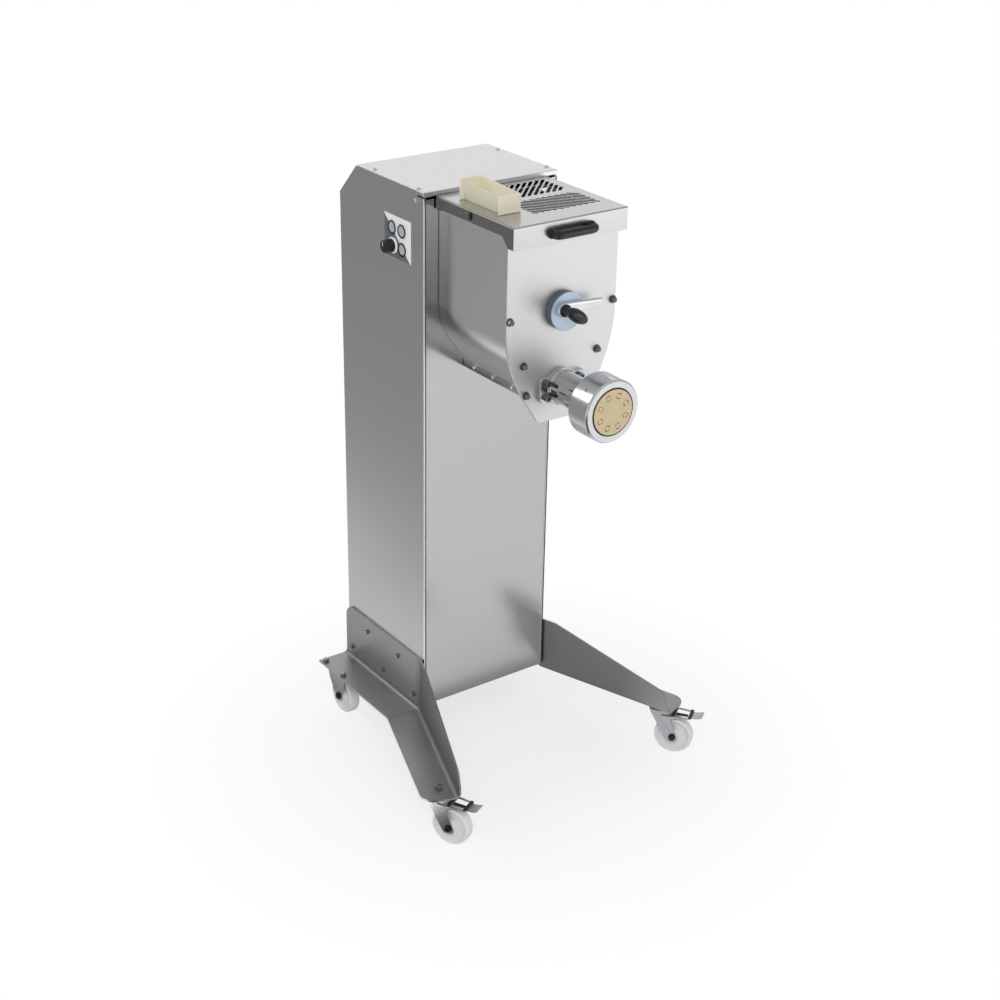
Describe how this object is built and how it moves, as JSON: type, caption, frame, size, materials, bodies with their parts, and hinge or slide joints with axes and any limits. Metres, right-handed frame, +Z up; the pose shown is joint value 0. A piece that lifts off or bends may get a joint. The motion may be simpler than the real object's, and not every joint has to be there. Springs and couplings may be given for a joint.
{
  "type": "electric pasta maker",
  "caption": "Wheeled pasta extruder: a tall steel column with a geared drive, a lidded mixing hopper, and an auger barrel whose ring nut holds a bronze die.",
  "frame": {"origin": "middle of the outer box in plan, on the floor under the castors", "axes": "+Z up, -Y towards the user at the hopper's front, +X to the right seen from the front"},
  "size_m": [0.6608, 0.669, 1.2213],
  "materials": {
    "brushed_steel": "satin stainless sheet",
    "polished_steel": "turned and polished stainless",
    "gear_steel": "machined",
    "cast_metal": "painted casting",
    "bronze": "matt",
    "cap_metal": "anodised, satin",
    "white_nylon": "smooth",
    "black_plastic": "satin",
    "cream_plastic": "smooth",
    "white_label": "glossy"
  },
  "bodies": {
    "machine": {"base_plate": "brushed_steel", "left_side_panel": "brushed_steel", "right_side_panel": "brushed_steel", "front_panel": "brushed_steel", "rear_cover": "brushed_steel", "top_cover": "brushed_steel", "cable_gland": "black_plastic", "control_plate": "white_label", "switch_box": "cast_metal", "bearing_plate": "gear_steel", "mixer_bush": "bronze", "auger_bush": "bronze", "gear_reducer": "cast_metal", "drive_motor": "cast_metal", "hopper_tub": "brushed_steel", "auger_trough": "brushed_steel", "hopper_front_plate": "brushed_steel", "extruder_barrel": "polished_steel", "shaft_cap": "cap_metal", "hinge_rod": "polished_steel", "lid_sensor": "black_plastic", "left_leg": "brushed_steel", "right_leg": "brushed_steel", "front_left_castor_head": "polished_steel", "front_right_castor_head": "polished_steel", "rear_left_castor_fork": "polished_steel", "rear_left_castor_axle": "gear_steel", "rear_right_castor_fork": "polished_steel", "rear_right_castor_axle": "gear_steel"},
    "lid_body": {"lid": "brushed_steel", "lid_handle": "black_plastic", "left_hinge_arm": "gear_steel", "right_hinge_arm": "gear_steel", "lid_magnet": "black_plastic"},
    "tray_body": {"liquid_tray": "cream_plastic"},
    "start_button_body": {"start_button": "polished_steel"},
    "stop_button_body": {"stop_button": "polished_steel"},
    "reverse_button_body": {"reverse_button": "polished_steel"},
    "selector_body": {"selector_knob": "black_plastic"},
    "auger_rotor": {"auger": "polished_steel", "auger_gear": "gear_steel"},
    "mixer_rotor": {"mixing_shaft": "polished_steel", "mixer_gear": "gear_steel"},
    "die_body": {"pasta_die": "bronze"},
    "ring_nut_body": {"ring_nut": "polished_steel"},
    "lock_lever_body": {"lock_lever": "polished_steel"},
    "lock_knob_body": {"lock_knob": "black_plastic"},
    "front_left_swivel": {"front_left_castor_fork": "polished_steel", "front_left_castor_axle": "gear_steel"},
    "front_left_roller": {"front_left_castor_wheel": "white_nylon"},
    "front_left_pedal": {"front_left_castor_brake": "polished_steel"},
    "front_right_swivel": {"front_right_castor_fork": "polished_steel", "front_right_castor_axle": "gear_steel"},
    "front_right_roller": {"front_right_castor_wheel": "white_nylon"},
    "front_right_pedal": {"front_right_castor_brake": "polished_steel"},
    "rear_left_roller": {"rear_left_castor_wheel": "white_nylon"},
    "rear_right_roller": {"rear_right_castor_wheel": "white_nylon"}
  },
  "joints": [
    {"name": "lid_hinge", "type": "hinge", "parent": "machine", "child": "lid_body", "pos_m": [-0.01104, 0.0235, 1.177], "axis": [-1, 0, 0], "range_deg": [0, 95]},
    {"name": "tray_lift", "type": "slide", "parent": "lid_body", "child": "tray_body", "axis": [0, 0, 1], "range_m": [0, 0.06]},
    {"name": "start_press", "type": "slide", "parent": "machine", "child": "start_button_body", "axis": [1, 0, 0], "range_m": [0, 0.003], "stiffness_N_per_m": 600, "springref_m": -0.001},
    {"name": "stop_press", "type": "slide", "parent": "machine", "child": "stop_button_body", "axis": [1, 0, 0], "range_m": [0, 0.003], "stiffness_N_per_m": 600, "springref_m": -0.001},
    {"name": "reverse_press", "type": "slide", "parent": "machine", "child": "reverse_button_body", "axis": [1, 0, 0], "range_m": [0, 0.003], "stiffness_N_per_m": 600, "springref_m": -0.001},
    {"name": "selector_turn", "type": "hinge", "parent": "machine", "child": "selector_body", "pos_m": [-0.17604, 0.1385, 1.074], "axis": [-1, 0, 0], "range_deg": [-60, 60]},
    {"name": "mixer_spin", "type": "hinge", "parent": "machine", "child": "mixer_rotor", "pos_m": [-0.01104, -0.0685, 1.015], "axis": [0, -1, 0], "continuous": true},
    {"name": "auger_spin", "type": "hinge", "parent": "machine", "child": "auger_rotor", "pos_m": [-0.01104, -0.0985, 0.87], "axis": [0, -1, 0], "continuous": true},
    {"name": "die_slide", "type": "slide", "parent": "machine", "child": "die_body", "axis": [0, -1, 0], "range_m": [0, 0.0121]},
    {"name": "ring_nut_turn", "type": "hinge", "parent": "die_body", "child": "ring_nut_body", "pos_m": [-0.01104, -0.3085, 0.87], "axis": [0, -1, 0], "range_deg": [0, 1440]},
    {"name": "lock_lever_swing", "type": "hinge", "parent": "machine", "child": "lock_lever_body", "pos_m": [-0.02404, -0.2025, 1.022], "axis": [0, -1, 0], "range_deg": [0, 90]},
    {"name": "lock_knob_turn", "type": "hinge", "parent": "lock_lever_body", "child": "lock_knob_body", "pos_m": [-0.02404, -0.2425, 1.022], "axis": [0, -1, 0], "range_deg": [0, 360]},
    {"name": "front_left_swivel_turn", "type": "hinge", "parent": "machine", "child": "front_left_swivel", "pos_m": [-0.28835, -0.20283, 0.098], "axis": [0, 0, 1], "continuous": true},
    {"name": "front_left_wheel_roll", "type": "hinge", "parent": "front_left_swivel", "child": "front_left_roller", "pos_m": [-0.27432, -0.23159, 0.04], "axis": [0.8988, 0.4384, 0], "continuous": true},
    {"name": "front_left_brake_press", "type": "hinge", "parent": "front_left_swivel", "child": "front_left_pedal", "pos_m": [-0.28309, -0.21361, 0.088], "axis": [0.8988, 0.4384, 0], "range_deg": [0, 8]},
    {"name": "front_right_swivel_turn", "type": "hinge", "parent": "machine", "child": "front_right_swivel", "pos_m": [0.26628, -0.20283, 0.098], "axis": [0, 0, 1], "continuous": true},
    {"name": "front_right_wheel_roll", "type": "hinge", "parent": "front_right_swivel", "child": "front_right_roller", "pos_m": [0.28509, -0.22872, 0.04], "axis": [0.809, 0.5878, 0], "continuous": true},
    {"name": "front_right_brake_press", "type": "hinge", "parent": "front_right_swivel", "child": "front_right_pedal", "pos_m": [0.27333, -0.21254, 0.088], "axis": [0.809, 0.5878, 0], "range_deg": [0, 8]},
    {"name": "rear_left_wheel_roll", "type": "hinge", "parent": "machine", "child": "rear_left_roller", "pos_m": [-0.19904, 0.2875, 0.04], "axis": [1, 0, 0], "continuous": true},
    {"name": "rear_right_wheel_roll", "type": "hinge", "parent": "machine", "child": "rear_right_roller", "pos_m": [0.17696, 0.2875, 0.04], "axis": [1, 0, 0], "continuous": true}
  ],
  "couplings": [
    {"joint": "auger_spin", "follows": "mixer_spin", "ratio": -1.8824},
    {"joint": "die_slide", "follows": "ring_nut_turn", "m_per_rad": 0.00047746}
  ]
}
